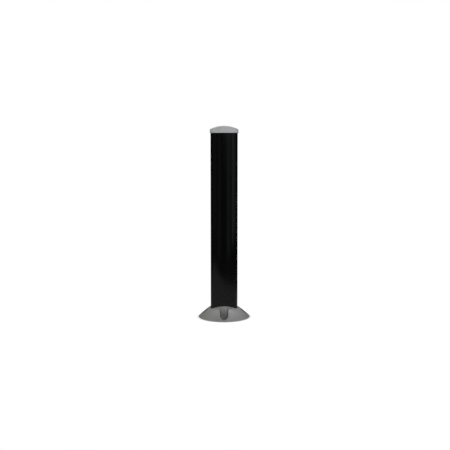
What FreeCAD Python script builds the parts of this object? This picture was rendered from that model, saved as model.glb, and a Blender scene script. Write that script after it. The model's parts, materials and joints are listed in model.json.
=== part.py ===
"""Slim bollard post: a domed cast foot, an extruded post with crowned faces, and an arched push-fit cap.

Millimetres. The origin is on the floor at the centre of the foot, +Z is up and -Y is the front.
Each piece is written to its own file in parts/.
"""

import FreeCAD
import Part
import math
import os

# Whole object
TOTAL_HEIGHT = 500.0

# Post: a rectangle with crowned faces and rounded corners, the same section all the way up
POST_WIDTH = 70.0
POST_DEPTH = 52.0
POST_WALL = 2.5
FACE_CROWN_RADIUS = 100.0
SIDE_CROWN_RADIUS = 400.0
POST_CORNER_RADIUS = 10.0
PORT_RADIUS = 4.75
PORT_BORE_RADIUS = 3.05
PORT_INTO_WALL = 1.0
PORT_SLOT = 3.0

# Foot: a shallow dome of revolution, steepest at its rim, with a bevel under the rim
FOOT_RADIUS = 67.4
FOOT_BASE_RADIUS = 64.6
RIM_HEIGHT = 1.2
RIM_ROUND = 0.4
DOME_RADIUS = 190.0
DOME_SLOPE_AT_RIM = 46.0
DOME_FLAT_TOP_INSET = 4.0
SHELL_WALL = 5.0
SOCKET_FLOOR = 12.0
SOCKET_FLOOR_THICKNESS = 5.0
SOCKET_WALL = 3.5
SOCKET_GAP = 0.3
DRAIN_RADIUS = 6.0
RIB_THICKNESS = 3.0
EDGE_ROUND = 0.6

# Anchor pockets: slots with vertical sides and a pointed round outer end, one on each axis
ANCHOR_CIRCLE = 106.0
ANCHOR_HOLE_RADIUS = 4.5
POCKET_WIDTH = 21.0
POCKET_STRAIGHT_REACH = 51.0
POCKET_TIP_REACH = 63.5
POCKET_TIP_RADIUS = 8.0
POCKET_FLOOR = 3.5
POCKET_INNER_CORNER = 5.5
POCKET_GAP_TO_POST = 4.2
POCKET_WALL = 3.5
POCKET_FLOOR_ROUND = 1.0

# Gaskets
POST_GASKET_THICKNESS = 1.0
BASE_GROOVE_RADIUS = 61.3
BASE_GROOVE_WIDTH = 2.4
BASE_GROOVE_DEPTH = 1.6
GASKET_CLEARANCE = 0.05

# Cap: its top is arched across the width and nearly straight from front to back
CAP_OVERHANG = 1.95
CAP_HEIGHT = 18.7
CAP_ARCH_RADIUS = 78.0
CAP_CROWN_RADIUS = 300.0
CAP_WALL = 2.5
CAP_EDGE_ROUND = 2.2
CAP_RIM_ROUND = 0.5
SKIRT_GAP = 0.3
SKIRT_OVERLAP = 7.0
CAP_SEAL_THICKNESS = 1.0
CAP_SEAL_MARGIN = 0.1
CAP_LEDGE = 3.7
CAP_BOSS_RADIUS = 4.5
CAP_BOSS_SPACING = 32.0

# Plug inside the post's upper end
PLUG_LENGTH = 25.0
PLUG_PLATE = 3.0
PLUG_WALL = 2.5
PLUG_BODY_GAP = 1.2
PLUG_FIN_GAP = 0.1
PLUG_FIN_THICKNESS = 1.0
PLUG_FIN_COUNT = 4
PLUG_PORT_GAP = 0.3

# Button-head screws: radii of the shank, its clearance hole and the head, then the hexagon key
M6_SCREW = {
    "thread": 3.0, "clearance": 3.3,
    "head": 5.25, "head_height": 3.3,
    "key": 4.0, "key_depth": 2.0,
}
M4_SCREW = {
    "thread": 2.0, "clearance": 2.25,
    "head": 3.8, "head_height": 2.2,
    "key": 2.5, "key_depth": 1.3,
}
M6_LENGTH = 30.0
M4_LENGTH = 8.0
M6_WASHER_RADIUS = 6.0
M6_WASHER_BORE_RADIUS = 3.2
M6_WASHER_THICKNESS = 1.6
SCREW_END_CLEARANCE = 0.5

# Heights that follow from the sizes above
POST_BOTTOM = SOCKET_FLOOR + POST_GASKET_THICKNESS
CAP_RIM = TOTAL_HEIGHT - CAP_HEIGHT
POST_TOP = CAP_RIM + SKIRT_OVERLAP
CAP_LEDGE_HEIGHT = POST_TOP + CAP_SEAL_THICKNESS
PLATE_UNDERSIDE = SOCKET_FLOOR - SOCKET_FLOOR_THICKNESS
UP = FreeCAD.Vector(0, 0, 1)


def vec(x, y, z=0.0):
    return FreeCAD.Vector(x, y, z)


def cylinder(radius, bottom, top, x=0.0, y=0.0):
    return Part.makeCylinder(radius, top - bottom, vec(x, y, bottom), UP)


def ring(outer, inner, bottom, top, x=0.0, y=0.0):
    return cylinder(outer, bottom, top, x, y).cut(cylinder(inner, bottom, top, x, y))


def fused(shapes):
    whole = shapes[0]
    for shape in shapes[1:]:
        whole = whole.fuse(shape)
    return whole.removeSplitter()


# ---- the post's section -------------------------------------------------------------------------

def crown_centres():
    """Centres of the back face's arc and of the right side's arc."""
    face = vec(0, POST_DEPTH / 2 - FACE_CROWN_RADIUS)
    side = vec(POST_WIDTH / 2 - SIDE_CROWN_RADIUS, 0)
    return face, side


def corner_centre():
    """Centre of the corner arc that touches the back face's arc and the right side's arc from inside."""
    face, side = crown_centres()
    to_face = FACE_CROWN_RADIUS - POST_CORNER_RADIUS
    to_side = SIDE_CROWN_RADIUS - POST_CORNER_RADIUS
    apart = side - face
    cosine = (to_face**2 + apart.Length**2 - to_side**2) / (2 * to_face * apart.Length)
    angle = math.atan2(apart.y, apart.x) - math.acos(cosine)
    return face + vec(to_face * math.cos(angle), to_face * math.sin(angle))


def mirrored(point, sign_x, sign_y):
    return vec(sign_x * point.x, sign_y * point.y, point.z)


def post_outline(grow, height):
    """The post's outline, moved outward by grow (inward if negative), as a closed wire at a height."""
    face, side = crown_centres()
    corner = corner_centre()
    lift = vec(0, 0, height)
    towards_face = (corner - face).normalize()
    towards_side = (corner - side).normalize()
    towards_corner = (towards_face + towards_side).normalize()
    radius = POST_CORNER_RADIUS + grow
    on_face = corner + towards_face * radius + lift
    on_corner = corner + towards_corner * radius + lift
    on_side = corner + towards_side * radius + lift
    half_width = POST_WIDTH / 2 + grow
    half_depth = POST_DEPTH / 2 + grow
    edges = []
    for sx, sy in ((1, 1), (1, -1), (-1, -1), (-1, 1)):
        ends = [mirrored(p, sx, sy) for p in (on_face, on_corner, on_side)]
        edges.append(Part.Arc(*ends).toShape())
    for sign in (1, -1):
        crown = vec(0, sign * half_depth, height)
        flank = vec(sign * half_width, 0, height)
        edges.append(Part.Arc(mirrored(on_face, -1, sign), crown, mirrored(on_face, 1, sign)).toShape())
        edges.append(Part.Arc(mirrored(on_side, sign, -1), flank, mirrored(on_side, sign, 1)).toShape())
    return Part.Wire(Part.__sortEdges__(edges))


def post_prism(grow, bottom, top):
    return Part.Face(post_outline(grow, bottom)).extrude(vec(0, 0, top - bottom))


def port_centres():
    """Centres of the four screw ports, each let a little way into the wall at a corner."""
    face, side = crown_centres()
    corner = corner_centre()
    outward = ((corner - face).normalize() + (corner - side).normalize()).normalize()
    reach = POST_CORNER_RADIUS - POST_WALL - PORT_RADIUS + PORT_INTO_WALL
    centre = corner + outward * reach
    return [mirrored(centre, sx, sy) for sx, sy in ((1, 1), (-1, 1), (-1, -1), (1, -1))]


def make_post_profile():
    """Hollow extrusion with a slotted screw port in each corner."""
    tube = post_prism(0, POST_BOTTOM, POST_TOP)
    hollow = post_prism(-POST_WALL, POST_BOTTOM, POST_TOP)
    shell = tube.cut(hollow)
    ports = [cylinder(PORT_RADIUS, POST_BOTTOM, POST_TOP, c.x, c.y).common(tube) for c in port_centres()]
    profile = fused([shell] + ports)
    for centre in port_centres():
        bore = cylinder(PORT_BORE_RADIUS, POST_BOTTOM, POST_TOP, centre.x, centre.y)
        slot = Part.makeBox(PORT_RADIUS + 1, PORT_SLOT, POST_TOP - POST_BOTTOM, vec(0, -PORT_SLOT / 2, 0))
        inward = math.degrees(math.atan2(-centre.y, -centre.x))
        slot.rotate(vec(0, 0), UP, inward)
        slot.translate(vec(centre.x, centre.y, POST_BOTTOM))
        profile = profile.cut(bore.fuse(slot))
    return profile


# ---- the foot -----------------------------------------------------------------------------------

def dome_centre():
    slope = math.radians(DOME_SLOPE_AT_RIM)
    return FOOT_RADIUS - DOME_RADIUS * math.sin(slope), RIM_HEIGHT - DOME_RADIUS * math.cos(slope)


def dome_height(reach, depth):
    """Height of the dome at a reach from the axis, measured to the surface a depth below the skin."""
    centre_reach, centre_height = dome_centre()
    return centre_height + math.sqrt((DOME_RADIUS - depth) ** 2 - (reach - centre_reach) ** 2)


def dome_solid(depth, rim_reach, rim_height, base_reach):
    """Solid of revolution under the dome's arc, from the floor up. The post's socket takes its top away."""
    top_reach = POST_DEPTH / 2 - DOME_FLAT_TOP_INSET
    top_height = dome_height(top_reach, depth)
    middle_reach = (rim_reach + top_reach) / 2
    rim = vec(rim_reach, 0, rim_height)
    middle = vec(middle_reach, 0, dome_height(middle_reach, depth))
    top = vec(top_reach, 0, top_height)
    edges = [
        Part.LineSegment(vec(0, 0, 0), vec(base_reach, 0, 0)).toShape(),
        Part.Arc(rim, middle, top).toShape(),
        Part.LineSegment(top, vec(0, 0, top_height)).toShape(),
        Part.LineSegment(vec(0, 0, top_height), vec(0, 0, 0)).toShape(),
    ]
    if rim_height > 0:
        edges.insert(1, Part.LineSegment(vec(base_reach, 0, 0), rim).toShape())
    return Part.Face(Part.Wire(edges)).revolve(vec(0, 0, 0), UP, 360)


def pocket_places():
    """Each pocket's direction in degrees and how far from the axis it begins, clear of the post."""
    beside = POST_WIDTH / 2 + POCKET_GAP_TO_POST
    before = POST_DEPTH / 2 + POCKET_GAP_TO_POST
    return ((0, beside), (90, before), (180, beside), (270, before))


def pocket_end(half, tip_radius):
    """Where the pocket's end changes arcs, and a point within the first arc, on its +Y side.

    The end is a small arc at the tip between two larger arcs that run on from the straight sides.
    """
    tip_centre = POCKET_TIP_REACH - POCKET_TIP_RADIUS
    length = tip_centre - POCKET_STRAIGHT_REACH
    radius = (half**2 + length**2 - tip_radius**2) / (2 * (half - tip_radius))
    turn = math.atan2(length, radius - half)
    centre_y = half - radius
    def on_arc(angle):
        x = POCKET_STRAIGHT_REACH + radius * math.sin(angle)
        return vec(x, centre_y + radius * math.cos(angle))
    return on_arc(turn / 2), on_arc(turn)


def pocket_prism(angle, start, grow, bottom, top):
    """Slot-shaped prism along one axis: rounded corners inside and a pointed round end outside."""
    half = POCKET_WIDTH / 2 + grow
    inner = start - grow
    straight_end = POCKET_STRAIGHT_REACH
    tip = vec(POCKET_TIP_REACH + grow, 0)
    within, change = pocket_end(half, POCKET_TIP_RADIUS + grow)
    round_off = POCKET_INNER_CORNER
    turn = round_off * (1 - math.sqrt(0.5))
    edges = [
        Part.LineSegment(vec(inner + round_off, -half), vec(straight_end, -half)).toShape(),
        Part.Arc(vec(straight_end, -half), mirrored(within, 1, -1), mirrored(change, 1, -1)).toShape(),
        Part.Arc(mirrored(change, 1, -1), tip, change).toShape(),
        Part.Arc(change, within, vec(straight_end, half)).toShape(),
        Part.LineSegment(vec(straight_end, half), vec(inner + round_off, half)).toShape(),
        Part.Arc(vec(inner + round_off, half), vec(inner + turn, half - turn),
                 vec(inner, half - round_off)).toShape(),
        Part.LineSegment(vec(inner, half - round_off), vec(inner, round_off - half)).toShape(),
        Part.Arc(vec(inner, round_off - half), vec(inner + turn, turn - half),
                 vec(inner + round_off, -half)).toShape(),
    ]
    prism = Part.Face(Part.Wire(edges)).extrude(vec(0, 0, top - bottom))
    prism.rotate(vec(0, 0), UP, angle)
    prism.translate(vec(0, 0, bottom))
    return prism


def pocket_floor_edges(shape):
    """Edges where the pockets' walls meet their floors."""
    def on_floor(edge):
        box = edge.BoundBox
        return abs(box.ZMin - POCKET_FLOOR) < 1e-6 and abs(box.ZMax - POCKET_FLOOR) < 1e-6
    return [edge for edge in shape.Edges if on_floor(edge)]


def sharp_top_edges(shape):
    """Edges where the dome's skin meets the walls of the socket and the pockets."""
    found = []
    for edge in shape.Edges:
        first, last = edge.ParameterRange
        points = [edge.valueAt(first + (last - first) * part) for part in (0.1, 0.5, 0.9)]
        on_skin = [abs(p.z - dome_height(math.hypot(p.x, p.y), 0)) < 0.01 for p in points]
        inside_rim = [math.hypot(p.x, p.y) < FOOT_RADIUS - 1.0 for p in points]
        if all(on_skin) and all(inside_rim):
            found.append(edge)
    return found


def foot_cavity():
    """Hollow under the foot, less the socket's block, the anchor pads and four ribs."""
    centre_reach, centre_height = dome_centre()
    inner_rim = centre_reach + math.sqrt((DOME_RADIUS - SHELL_WALL) ** 2 - centre_height**2)
    cavity = dome_solid(SHELL_WALL, inner_rim, 0, inner_rim)
    tall = TOTAL_HEIGHT
    cavity = cavity.cut(post_prism(SOCKET_GAP + SOCKET_WALL, PLATE_UNDERSIDE, tall))
    for angle, start in pocket_places():
        cavity = cavity.cut(pocket_prism(angle, start, POCKET_WALL, -1, tall))
    for angle in (45, 135, 225, 315):
        rib = Part.makeBox(FOOT_RADIUS, RIB_THICKNESS, tall, vec(POST_WIDTH / 2, -RIB_THICKNESS / 2, 0))
        rib.rotate(vec(0, 0), UP, angle)
        cavity = cavity.cut(rib)
    return cavity


def make_foot_casting():
    foot = dome_solid(0, FOOT_RADIUS, RIM_HEIGHT, FOOT_BASE_RADIUS)
    foot = foot.makeFillet(RIM_ROUND, rim_edges(foot, RIM_HEIGHT))
    foot = foot.cut(post_prism(SOCKET_GAP, SOCKET_FLOOR, TOTAL_HEIGHT))
    for angle, start in pocket_places():
        foot = foot.cut(pocket_prism(angle, start, 0, POCKET_FLOOR, TOTAL_HEIGHT))
    foot = foot.makeFillet(EDGE_ROUND, sharp_top_edges(foot))
    foot = foot.makeFillet(POCKET_FLOOR_ROUND, pocket_floor_edges(foot))
    foot = foot.cut(foot_cavity())
    foot = foot.cut(cylinder(DRAIN_RADIUS, 0, SOCKET_FLOOR + 1))
    groove_outer = BASE_GROOVE_RADIUS + BASE_GROOVE_WIDTH / 2
    groove_inner = BASE_GROOVE_RADIUS - BASE_GROOVE_WIDTH / 2
    foot = foot.cut(ring(groove_outer, groove_inner, -1, BASE_GROOVE_DEPTH))
    for angle, _ in pocket_places():
        x = ANCHOR_CIRCLE / 2 * math.cos(math.radians(angle))
        y = ANCHOR_CIRCLE / 2 * math.sin(math.radians(angle))
        foot = foot.cut(cylinder(ANCHOR_HOLE_RADIUS, -1, POCKET_FLOOR + 1, x, y))
    for centre in port_centres():
        foot = foot.cut(cylinder(M6_SCREW["clearance"], 0, SOCKET_FLOOR + 1, centre.x, centre.y))
    return foot


def make_base_gasket():
    """Rubber ring in the groove under the foot's rim, flush with the floor."""
    half = BASE_GROOVE_WIDTH / 2 - GASKET_CLEARANCE
    return ring(BASE_GROOVE_RADIUS + half, BASE_GROOVE_RADIUS - half, 0, BASE_GROOVE_DEPTH)


def make_post_gasket():
    """Flat gasket under the post's lower end, with a hole for each screw."""
    outer = post_prism(0, SOCKET_FLOOR, POST_BOTTOM)
    window = cylinder(POST_DEPTH / 4, SOCKET_FLOOR, POST_BOTTOM)
    gasket = outer.cut(window)
    for centre in port_centres():
        gasket = gasket.cut(cylinder(M6_SCREW["clearance"], SOCKET_FLOOR, POST_BOTTOM, centre.x, centre.y))
    return gasket


# ---- screws -------------------------------------------------------------------------------------

def hexagon_prism(across_flats, bottom, top, x, y):
    corner = across_flats / math.sqrt(3)
    points = []
    for step in range(7):
        angle = math.radians(60 * step)
        points.append(vec(x + corner * math.cos(angle), y + corner * math.sin(angle), bottom))
    return Part.Face(Part.makePolygon(points)).extrude(vec(0, 0, top - bottom))


def screw_upwards(size, length, under_head, x, y):
    """Button-head screw whose head hangs below under_head and whose plain shank points up."""
    head_bottom = under_head - size["head_height"]
    rounding = size["head_height"] * 0.45
    head = cylinder(size["head"], head_bottom, under_head, x, y)
    lower_rim = [e for e in head.Edges if abs(e.BoundBox.ZMax - head_bottom) < 1e-6]
    head = head.makeFillet(rounding, lower_rim)
    shank = cylinder(size["thread"], under_head, under_head + length, x, y)
    tip = [e for e in shank.Edges if abs(e.BoundBox.ZMin - under_head - length) < 1e-6]
    shank = shank.makeChamfer(size["thread"] * 0.2, tip)
    key = hexagon_prism(size["key"], head_bottom, head_bottom + size["key_depth"], x, y)
    return head.fuse(shank).cut(key)


def make_post_screws():
    under_head = PLATE_UNDERSIDE - M6_WASHER_THICKNESS
    screws = [screw_upwards(M6_SCREW, M6_LENGTH, under_head, c.x, c.y) for c in port_centres()]
    return Part.makeCompound(screws)


def make_post_screw_washers():
    outer = M6_WASHER_RADIUS
    bore = M6_WASHER_BORE_RADIUS
    top = PLATE_UNDERSIDE
    bottom = top - M6_WASHER_THICKNESS
    return Part.makeCompound([ring(outer, bore, bottom, top, c.x, c.y) for c in port_centres()])


# ---- the cap and what holds it ------------------------------------------------------------------

def cap_barrel(depth):
    """Ring-shaped solid whose upper skin shapes the cap's top, at a depth below that skin."""
    centre = vec(0, 0, TOTAL_HEIGHT - CAP_CROWN_RADIUS)
    return Part.makeTorus(CAP_CROWN_RADIUS - CAP_ARCH_RADIUS, CAP_ARCH_RADIUS - depth, centre, vec(1, 0, 0))


def cap_boss_places():
    return ((-CAP_BOSS_SPACING / 2, 0), (CAP_BOSS_SPACING / 2, 0))


def rim_edges(shape, height):
    """Edges that lie flat at a height."""
    boxes = [(edge, edge.BoundBox) for edge in shape.Edges]
    return [edge for edge, box in boxes if box.ZMax < height + 1e-6 and box.ZMin > height - 1e-6]


def cap_top_edges(shape):
    """Edges where the cap's arched top meets its upright sides."""
    boxes = [(edge, edge.BoundBox) for edge in shape.Edges]
    return [edge for edge, box in boxes if box.ZMin > CAP_RIM + 1 and box.DiagonalLength > 1]


def make_cap():
    """Arched cap: a skirt sleeves over the post, and a ledge inside it sits on the seal."""
    cap = post_prism(CAP_OVERHANG, CAP_RIM, TOTAL_HEIGHT + 1).common(cap_barrel(0))
    cap = cap.makeFillet(CAP_EDGE_ROUND, cap_top_edges(cap))
    cap = cap.makeFillet(CAP_RIM_ROUND, rim_edges(cap, CAP_RIM))
    cap = cap.cut(post_prism(SKIRT_GAP, CAP_RIM - 1, CAP_LEDGE_HEIGHT))
    hollow = post_prism(-CAP_LEDGE, CAP_LEDGE_HEIGHT - 1, TOTAL_HEIGHT).common(cap_barrel(CAP_WALL))
    for x, y in cap_boss_places():
        hollow = hollow.cut(cylinder(CAP_BOSS_RADIUS, CAP_LEDGE_HEIGHT, TOTAL_HEIGHT, x, y))
    cap = cap.cut(hollow)
    hole_radius = M4_SCREW["thread"] + GASKET_CLEARANCE
    hole_top = CAP_LEDGE_HEIGHT - PLUG_PLATE + M4_LENGTH + SCREW_END_CLEARANCE
    for x, y in cap_boss_places():
        cap = cap.cut(cylinder(hole_radius, CAP_LEDGE_HEIGHT - 1, hole_top, x, y))
    return cap


def make_cap_seal():
    outer = post_prism(-CAP_SEAL_MARGIN, POST_TOP, CAP_LEDGE_HEIGHT)
    return outer.cut(post_prism(CAP_SEAL_MARGIN - POST_WALL, POST_TOP, CAP_LEDGE_HEIGHT))


def make_cap_plug():
    """Moulded insert: a hollow block with thin fins round it that fill the post's bore."""
    top = CAP_LEDGE_HEIGHT
    bottom = top - PLUG_LENGTH
    body_inset = -POST_WALL - PLUG_BODY_GAP
    body = post_prism(body_inset, bottom, top)
    fin_step = (POST_TOP - bottom) / (PLUG_FIN_COUNT + 1)
    fins = []
    for index in range(PLUG_FIN_COUNT):
        base = bottom + fin_step * (index + 0.6)
        fins.append(post_prism(-POST_WALL - PLUG_FIN_GAP, base, base + PLUG_FIN_THICKNESS))
    plug = fused([body] + fins)
    plug = plug.cut(post_prism(body_inset - PLUG_WALL, bottom, top - PLUG_PLATE))
    for centre in port_centres():
        plug = plug.cut(cylinder(PORT_RADIUS + PLUG_PORT_GAP, bottom, top, centre.x, centre.y))
    for x, y in cap_boss_places():
        plug = plug.cut(cylinder(M4_SCREW["clearance"], bottom, top, x, y))
    return plug


def make_cap_screws():
    under_head = CAP_LEDGE_HEIGHT - PLUG_PLATE
    screws = [screw_upwards(M4_SCREW, M4_LENGTH, under_head, x, y) for x, y in cap_boss_places()]
    return Part.makeCompound(screws)


PIECES = {
    "foot_casting": make_foot_casting,
    "base_gasket": make_base_gasket,
    "post_gasket": make_post_gasket,
    "post_profile": make_post_profile,
    "post_screws": make_post_screws,
    "post_screw_washers": make_post_screw_washers,
    "cap": make_cap,
    "cap_seal": make_cap_seal,
    "cap_plug": make_cap_plug,
    "cap_screws": make_cap_screws,
}

os.makedirs("parts", exist_ok=True)
for name, make in PIECES.items():
    piece = make()
    if not piece.isValid():
        raise ValueError(name + " is not a valid shape")
    piece.exportStep("parts/" + name + ".step")
    print(name, "solids", len(piece.Solids), "volume", round(piece.Volume))
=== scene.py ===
"""Looks of the slim bollard post: materials, floor, lights and camera. Every shape comes from the frame.

Metres. The frame's origin is on the floor at the centre of the foot, +Z is up and -Y is the front.
"""

import json
import math

import bpy
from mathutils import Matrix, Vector

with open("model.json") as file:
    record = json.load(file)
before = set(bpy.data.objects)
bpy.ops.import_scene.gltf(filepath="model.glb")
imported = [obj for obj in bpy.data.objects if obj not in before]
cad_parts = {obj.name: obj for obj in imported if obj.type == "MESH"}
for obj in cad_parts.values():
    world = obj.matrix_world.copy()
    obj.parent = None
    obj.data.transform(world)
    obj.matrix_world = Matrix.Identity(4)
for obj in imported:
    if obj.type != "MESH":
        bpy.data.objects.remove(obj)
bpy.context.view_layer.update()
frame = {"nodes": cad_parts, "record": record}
scene = bpy.context.scene

# Camera: a little below the cap, tilted down until the post stands in the middle of the view
CAMERA_DISTANCE = 1.979
CAMERA_HEIGHT = 0.456
CAMERA_ASIDE = 0.0023
CAMERA_TILT = 6.146
FOCAL_LENGTH = 61.04
SENSOR_WIDTH = 36.0

# Tones of the finishes that show, as linear greys
FOOT_GREY = 0.166
FOOT_RUBBED_GREY = 0.42
COAT_BLACK = 0.0016
BARE_METAL_GREY = 0.50
CAP_GREY = 0.381
CAP_RUBBED_GREY = 0.54

# Studio: a sheet of pale paper laid askew, which ends a little in front of the post and glows, under a
# sky that brightens upwards. The glow fades out across the foot's rim, a painted contact shadow.
# SKY_STARTS and SKY_FULL are sines of elevation.
SHEET_CORNERS = ((-0.62, -0.885), (0.38, -0.356), (0.38, 0.30), (0.0, 0.12), (-0.62, -0.207))
GLOW = 0.86
PAINTED_SHADOW_CORE = 0.056
PAINTED_SHADOW_EDGE = 0.076
SKY_LIGHT = 0.62
HORIZON_LIGHT = 0.04
SKY_STARTS = 0.08
SKY_FULL = 0.55


# ---- node graphs --------------------------------------------------------------------------------

# Places of the colour sockets in a Mix node, whose sockets for each kind of data share their names
MIX_FIRST_COLOUR = 6
MIX_SECOND_COLOUR = 7
MIX_COLOUR_OUT = 2


class Graph:
    """A material's node tree, with one Principled shader at its end."""

    def __init__(self, name):
        self.material = bpy.data.materials.new(name)
        self.material.use_nodes = True
        self.tree = self.material.node_tree
        self.shader = self.tree.nodes["Principled BSDF"]

    def put(self, socket, value):
        if isinstance(value, bpy.types.NodeSocket):
            self.tree.links.new(value, socket)
        else:
            socket.default_value = value

    def node(self, kind, inputs=(), output=0, **settings):
        """A node with its settings and inputs (by name or place), and one of its outputs."""
        made = self.tree.nodes.new("ShaderNode" + kind)
        for name, value in settings.items():
            setattr(made, name, value)
        for key, value in dict(inputs).items():
            self.put(made.inputs[key], value)
        return made.outputs[output]

    def maths(self, operation, a, b):
        return self.node("Math", {0: a, 1: b}, operation=operation)

    def product(self, a, b):
        return self.maths("MULTIPLY", a, b)

    def place(self):
        """Places on the object, in metres."""
        return self.node("TexCoord", output="Object")

    def upward(self, vector):
        return self.node("SeparateXYZ", {"Vector": vector}, output="Z")

    def stretched(self, vector, scale):
        return self.node("Mapping", {"Vector": vector, "Scale": scale})

    def noise(self, vector, size, detail=3.0, roughness=0.5):
        """Noise from 0 to 1 whose blobs are about size across, in metres."""
        inputs = {"Vector": vector, "Scale": 1.0 / size, "Detail": detail, "Roughness": roughness}
        return self.node("TexNoise", inputs, noise_dimensions="3D")

    def cells(self, vector, size):
        """A random grey for each cell, about size across."""
        colour = self.node("TexVoronoi", {"Vector": vector, "Scale": 1.0 / size}, output="Color")
        return self.node("SeparateColor", {"Color": colour})

    def between(self, factor, low, high, start=0.0, end=1.0):
        """low where factor is start or less, high where it is end or more."""
        inputs = {"Value": factor, "From Min": start, "From Max": end, "To Min": low, "To Max": high}
        return self.node("MapRange", inputs, clamp=True)

    def blend(self, factor, first, second):
        """The first colour where factor is 0, the second where it is 1."""
        inputs = {"Factor": factor, MIX_FIRST_COLOUR: first, MIX_SECOND_COLOUR: second}
        return self.node("Mix", inputs, output=MIX_COLOUR_OUT, data_type="RGBA")

    def scaled(self, colour, factor):
        """A colour with its brightness multiplied."""
        if not isinstance(colour, bpy.types.NodeSocket):
            colour = colour[:3]
        made = self.node("VectorMath", {0: colour}, operation="SCALE")
        self.put(made.node.inputs["Scale"], factor)
        return made

    def dot(self, a, b):
        return self.node("VectorMath", {0: a, 1: b}, output="Value", operation="DOT_PRODUCT")

    def worn_edges(self, radius):
        """1 on sharp outward and inward edges, 0 on open faces."""
        rounded = self.node("Bevel", {"Radius": radius}, samples=6)
        true = self.node("NewGeometry", output="Normal")
        return self.between(self.dot(rounded, true), 1.0, 0.0, 0.80, 0.99)

    def shelter(self, distance):
        """0 deep in corners, 1 on open faces."""
        return self.node("AmbientOcclusion", {"Distance": distance}, output="AO", samples=8)

    def bump(self, height, depth, normal=None):
        """The normal of a surface raised by up to depth where height is 1."""
        inputs = {"Height": height, "Distance": depth, "Strength": 1.0}
        if normal is not None:
            inputs["Normal"] = normal
        return self.node("Bump", inputs)

    def finish(self, **inputs):
        for name, value in inputs.items():
            self.put(self.shader.inputs[name.replace("_", " ")], value)
        return self.material


def grey(level, tint=(1.0, 1.0, 1.0)):
    return (level * tint[0], level * tint[1], level * tint[2], 1.0)


# ---- materials ----------------------------------------------------------------------------------

def foot_paint():
    """Silver-grey paint over a fine cast skin: metal flake, painted light that makes corners and pockets
    paler, and painted shade that darkens the rim towards the floor and lightens the top of the dome.
    """
    g = Graph("foot_paint")
    place = g.place()
    mottle = g.between(g.noise(place, 0.028, 4), 0.93, 1.07, 0.3, 0.7)
    flake = g.between(g.cells(place, 0.00045), 0.90, 1.12)
    pores = g.noise(place, 0.0012, 3, 0.6)
    # painted light: the paint is up to half again paler in corners and pockets, standing in for light
    # that reaches into them
    dust_and_painted_light = g.between(g.shelter(0.012), 1.5, 1.0, 0.25, 0.95)
    height = g.upward(place)
    # painted shade: the paint is darker low on the rim and paler towards the top of the dome, as the
    # light falls
    painted_shade_by_height = g.between(height, 0.88, 1.08, 0.004, 0.022)
    colour = g.scaled(grey(FOOT_GREY, (1.0, 1.0, 0.98)), g.product(mottle, flake))
    colour = g.scaled(colour, g.product(dust_and_painted_light, painted_shade_by_height))
    patches = g.between(g.noise(place, 0.004, 4), 0.0, 0.7, 0.42, 0.62)
    rubbed = g.product(g.worn_edges(0.0009), patches)
    colour = g.blend(rubbed, colour, grey(FOOT_RUBBED_GREY))
    roughness = g.between(g.noise(place, 0.009, 4), 0.34, 0.46, 0.3, 0.7)
    cast = g.bump(g.noise(place, 0.006, 2), 0.00008)
    skin = g.bump(pores, 0.00005, cast)
    return g.finish(Base_Color=colour, Metallic=0.35, Roughness=roughness, Normal=skin)


def post_coat():
    """Gloss black coat on an extrusion: draw lines, a faint orange peel, dust near the floor.

    The metal is bare where the post is sawn to length and on the walls inside it.
    """
    g = Graph("post_coat")
    place = g.place()
    lines = g.noise(g.stretched(place, (1.0, 1.0, 0.004)), 0.0009, 2)
    peel = g.noise(place, 0.0035, 2)
    height = g.upward(place)
    low = g.between(height, 1.0, 0.0, 0.02, 0.16)
    patches = g.between(g.noise(place, 0.006, 5, 0.7), 0.0, 1.0, 0.45, 0.75)
    dust_and_painted_light = g.product(low, patches)
    specks = g.between(g.noise(place, 0.0011, 2), 0.0, 1.0, 0.68, 0.74)
    colour = g.blend(g.product(dust_and_painted_light, 0.35), grey(COAT_BLACK), grey(0.02, (1.0, 0.97, 0.92)))
    colour = g.blend(g.product(specks, 0.10), colour, grey(0.05))
    smear = g.between(g.noise(g.stretched(place, (1.0, 1.0, 0.25)), 0.03, 4), 0.10, 0.17, 0.3, 0.7)
    roughness = g.maths("ADD", smear, g.product(dust_and_painted_light, 0.12))
    facing = g.node("NewGeometry", output="True Normal")
    outward = g.dot(g.stretched(place, (1.0, 1.0, 0.0)), facing)
    inside = g.between(outward, 1.0, 0.0, -0.0004, 0.0004)
    sawn = g.between(g.upward(facing), 0.0, 1.0, 0.7, 0.9)
    bare = g.maths("MAXIMUM", inside, sawn)
    metal = g.scaled(grey(BARE_METAL_GREY), g.between(lines, 0.85, 1.1, 0.3, 0.7))
    colour = g.blend(bare, colour, metal)
    roughness = g.maths("ADD", roughness, g.product(bare, 0.22))
    drawn = g.bump(lines, 0.0000012)
    skin = g.bump(peel, 0.000004, drawn)
    return g.finish(Base_Color=colour, Metallic=g.product(bare, 0.8), Roughness=roughness,
                    Specular_IOR_Level=0.10, Normal=skin)


def cap_satin():
    """Satin silver: an even bead-blasted grain, brighter where hands have rubbed the edges."""
    g = Graph("cap_satin")
    place = g.place()
    mottle = g.between(g.noise(place, 0.02, 3), 0.96, 1.04, 0.3, 0.7)
    grain = g.between(g.cells(place, 0.0003), 0.94, 1.06)
    colour = g.scaled(grey(CAP_GREY, (0.995, 1.0, 1.005)), g.product(mottle, grain))
    patches = g.between(g.noise(place, 0.005, 3), 0.0, 0.5, 0.4, 0.65)
    rubbed = g.product(g.worn_edges(0.0008), patches)
    colour = g.blend(rubbed, colour, grey(CAP_RUBBED_GREY))
    roughness = g.between(g.noise(place, 0.012, 4), 0.52, 0.62, 0.3, 0.7)
    blasted = g.bump(g.noise(place, 0.0006, 2), 0.000012)
    return g.finish(Base_Color=colour, Metallic=0.15, Roughness=roughness, Specular_IOR_Level=0.3,
                    Normal=blasted)


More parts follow.
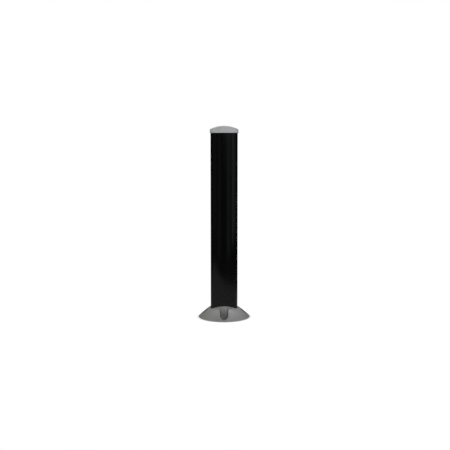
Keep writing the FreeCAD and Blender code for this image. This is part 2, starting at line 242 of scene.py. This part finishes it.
def rubber():
    """Black rubber with a dusty bloom."""
    g = Graph("rubber")
    place = g.place()
    bloom = g.between(g.noise(place, 0.003, 4), 0.0, 0.6, 0.45, 0.7)
    colour = g.blend(bloom, grey(0.018), grey(0.045))
    skin = g.bump(g.noise(place, 0.0007, 2), 0.00003)
    roughness = g.between(g.noise(place, 0.002, 3), 0.6, 0.8, 0.3, 0.7)
    return g.finish(Base_Color=colour, Roughness=roughness, Normal=skin)


def nylon():
    """Moulded black nylon with a spark-eroded texture."""
    g = Graph("nylon")
    place = g.place()
    colour = g.scaled(grey(0.028), g.between(g.noise(place, 0.01, 3), 0.85, 1.15, 0.3, 0.7))
    skin = g.bump(g.noise(place, 0.0005, 3), 0.00002)
    roughness = g.between(g.noise(place, 0.004, 3), 0.42, 0.58, 0.3, 0.7)
    return g.finish(Base_Color=colour, Roughness=roughness, Normal=skin)


def stainless():
    """Turned stainless steel: rings round each screw's axis, lightly tarnished."""
    g = Graph("stainless")
    place = g.place()
    turned = g.noise(g.stretched(place, (0.15, 0.15, 1.0)), 0.00012, 2)
    tarnish = g.between(g.noise(place, 0.003, 4), 0.8, 1.0, 0.35, 0.65)
    colour = g.scaled(grey(0.60, (1.0, 0.99, 0.97)), tarnish)
    roughness = g.between(turned, 0.22, 0.36, 0.3, 0.7)
    rings = g.bump(turned, 0.000004)
    return g.finish(Base_Color=colour, Metallic=1.0, Roughness=roughness, Normal=rings)


def floor_paper():
    """Matt white paper, lit from below as on a light table; the glow fades out towards the foot, painting
    a soft contact shadow round its rim.
    """
    g = Graph("floor_paper")
    place = g.place()
    fibre = g.between(g.noise(place, 0.002, 3), 0.985, 1.0, 0.3, 0.7)
    colour = g.scaled(grey(0.22), fibre)
    reach = g.node("VectorMath", {0: place}, output="Value", operation="LENGTH")
    # painted shadow: the glow is nothing under the foot and grows to full a little outside its rim
    glow_with_painted_shadow = g.between(reach, 0.0, GLOW, PAINTED_SHADOW_CORE, PAINTED_SHADOW_EDGE)
    return g.finish(Base_Color=colour, Roughness=0.9, Specular_IOR_Level=0.0,
                    Emission_Color=(1, 1, 1, 1), Emission_Strength=glow_with_painted_shadow)


def paint_nodes():
    """Every CAD node takes the material of its slot in the record."""
    materials = {
        "foot_paint": foot_paint(),
        "post_coat": post_coat(),
        "cap_satin": cap_satin(),
        "rubber": rubber(),
        "nylon": nylon(),
        "stainless": stainless(),
    }
    for part in frame["record"]["subparts"]:
        mesh = frame["nodes"][part["node"]].data
        mesh.materials.clear()
        mesh.materials.append(materials[part["material_slot"]])


# ---- stage --------------------------------------------------------------------------------------

def make_camera():
    data = bpy.data.cameras.new("camera")
    data.lens = FOCAL_LENGTH
    data.sensor_width = SENSOR_WIDTH
    camera = bpy.data.objects.new("camera", data)
    camera.location = (CAMERA_ASIDE, -CAMERA_DISTANCE, CAMERA_HEIGHT)
    camera.rotation_euler = (math.radians(90 - CAMERA_TILT), 0, 0)
    scene.collection.objects.link(camera)
    scene.camera = camera


def make_floor():
    mesh = bpy.data.meshes.new("floor")
    mesh.from_pydata([(x, y, 0.0) for x, y in SHEET_CORNERS], [], [tuple(range(len(SHEET_CORNERS)))])
    mesh.materials.append(floor_paper())
    floor = bpy.data.objects.new("floor", mesh)
    scene.collection.objects.link(floor)


def soft_light(name, place, aim, size, power, colour=(1.0, 1.0, 1.0), spread=180):
    """A rectangular soft light that the camera doesn't see. The spread is in degrees."""
    data = bpy.data.lights.new(name, "AREA")
    data.shape = "RECTANGLE"
    data.size, data.size_y = size
    data.energy = power
    data.color = colour
    data.spread = math.radians(spread)
    light = bpy.data.objects.new(name, data)
    light.location = place
    light.rotation_euler = (Vector(aim) - Vector(place)).to_track_quat("-Z", "Y").to_euler()
    light.visible_camera = False
    scene.collection.objects.link(light)


def make_lights():
    # Above and behind: the brighter upper part of the dome
    soft_light("overhead_right", (0.36, 0.6, 2.0), (0, 0, 0), (0.7, 0.7), 15, (0.98, 0.965, 1.0))
    soft_light("overhead_left", (-0.4, 0.5, 2.0), (0, 0, 0), (0.9, 0.9), 7, (1.0, 0.99, 0.88))
    # In front and above: the cap and the foot's front
    soft_light("key", (0.9, -1.3, 1.55), (0, 0, 0.2), (0.9, 0.9), 6, (0.88, 0.95, 1.0))
    soft_light("fill", (-1.3, -1.7, 1.6), (0, 0, 0.25), (1.0, 1.0), 8, (1.0, 0.975, 0.93))
    # In front at the post's own height: the soft bands that its gloss coat mirrors
    soft_light("strip", (0.34, -0.70, 0.55), (0, 0, 0.3), (0.05, 1.0), 0.25, (0.8, 0.92, 1.0))
    soft_light("band_left", (-0.26, -0.97, 0.42), (0, 0, 0.42), (0.16, 0.8), 0.12, (1.0, 0.95, 0.9))
    soft_light("band_right", (0.24, -0.97, 0.42), (0, 0, 0.42), (0.20, 0.8), 0.26, (0.88, 0.97, 1.0))
    soft_light("panel_left", (-0.77, -0.92, 0.45), (0, 0, 0.45), (0.7, 0.74), 0.4, (1.0, 0.97, 0.93))
    soft_light("panel_right", (0.82, -0.88, 0.45), (0, 0, 0.45), (0.7, 0.74), 1.05, (0.88, 0.97, 1.0))
    # Straight in front, with a narrower spread: the cap's front and the front pocket's floor
    soft_light("front", (0.3, -1.6, 0.88), (0, 0, 0.46), (1.0, 0.7), 0.86, spread=60)
    # From the sides: the ends of the cap and the flanks of the foot
    soft_light("side_left", (-1.9, -0.2, 1.3), (0, 0, 0.3), (1.0, 1.0), 9, (1.0, 0.985, 0.93))
    soft_light("side_right", (1.9, -0.2, 1.3), (0, 0, 0.3), (1.0, 1.0), 9, (0.92, 0.97, 1.0))


def make_world():
    """White where the camera looks; for everything else, a soft grey sky over a dark horizon."""
    world = bpy.data.worlds.new("studio")
    world.use_nodes = True
    tree = world.node_tree
    background = tree.nodes["Background"]
    coords = tree.nodes.new("ShaderNodeTexCoord")
    split = tree.nodes.new("ShaderNodeSeparateXYZ")
    tree.links.new(coords.outputs["Generated"], split.inputs["Vector"])
    level = tree.nodes.new("ShaderNodeMapRange")
    level.interpolation_type = "SMOOTHSTEP"
    level.inputs["From Min"].default_value = SKY_STARTS
    level.inputs["From Max"].default_value = SKY_FULL
    level.inputs["To Min"].default_value = HORIZON_LIGHT
    level.inputs["To Max"].default_value = SKY_LIGHT
    tree.links.new(split.outputs["Z"], level.inputs["Value"])
    path = tree.nodes.new("ShaderNodeLightPath")
    mix = tree.nodes.new("ShaderNodeMix")
    tree.links.new(path.outputs["Is Camera Ray"], mix.inputs["Factor"])
    tree.links.new(level.outputs["Result"], mix.inputs["A"])
    mix.inputs["B"].default_value = 1.0
    tree.links.new(mix.outputs["Result"], background.inputs["Strength"])
    background.inputs["Color"].default_value = (1, 1, 1, 1)
    scene.world = world


make_camera()
paint_nodes()
make_floor()
make_lights()
make_world()
scene.view_settings.view_transform = "Standard"
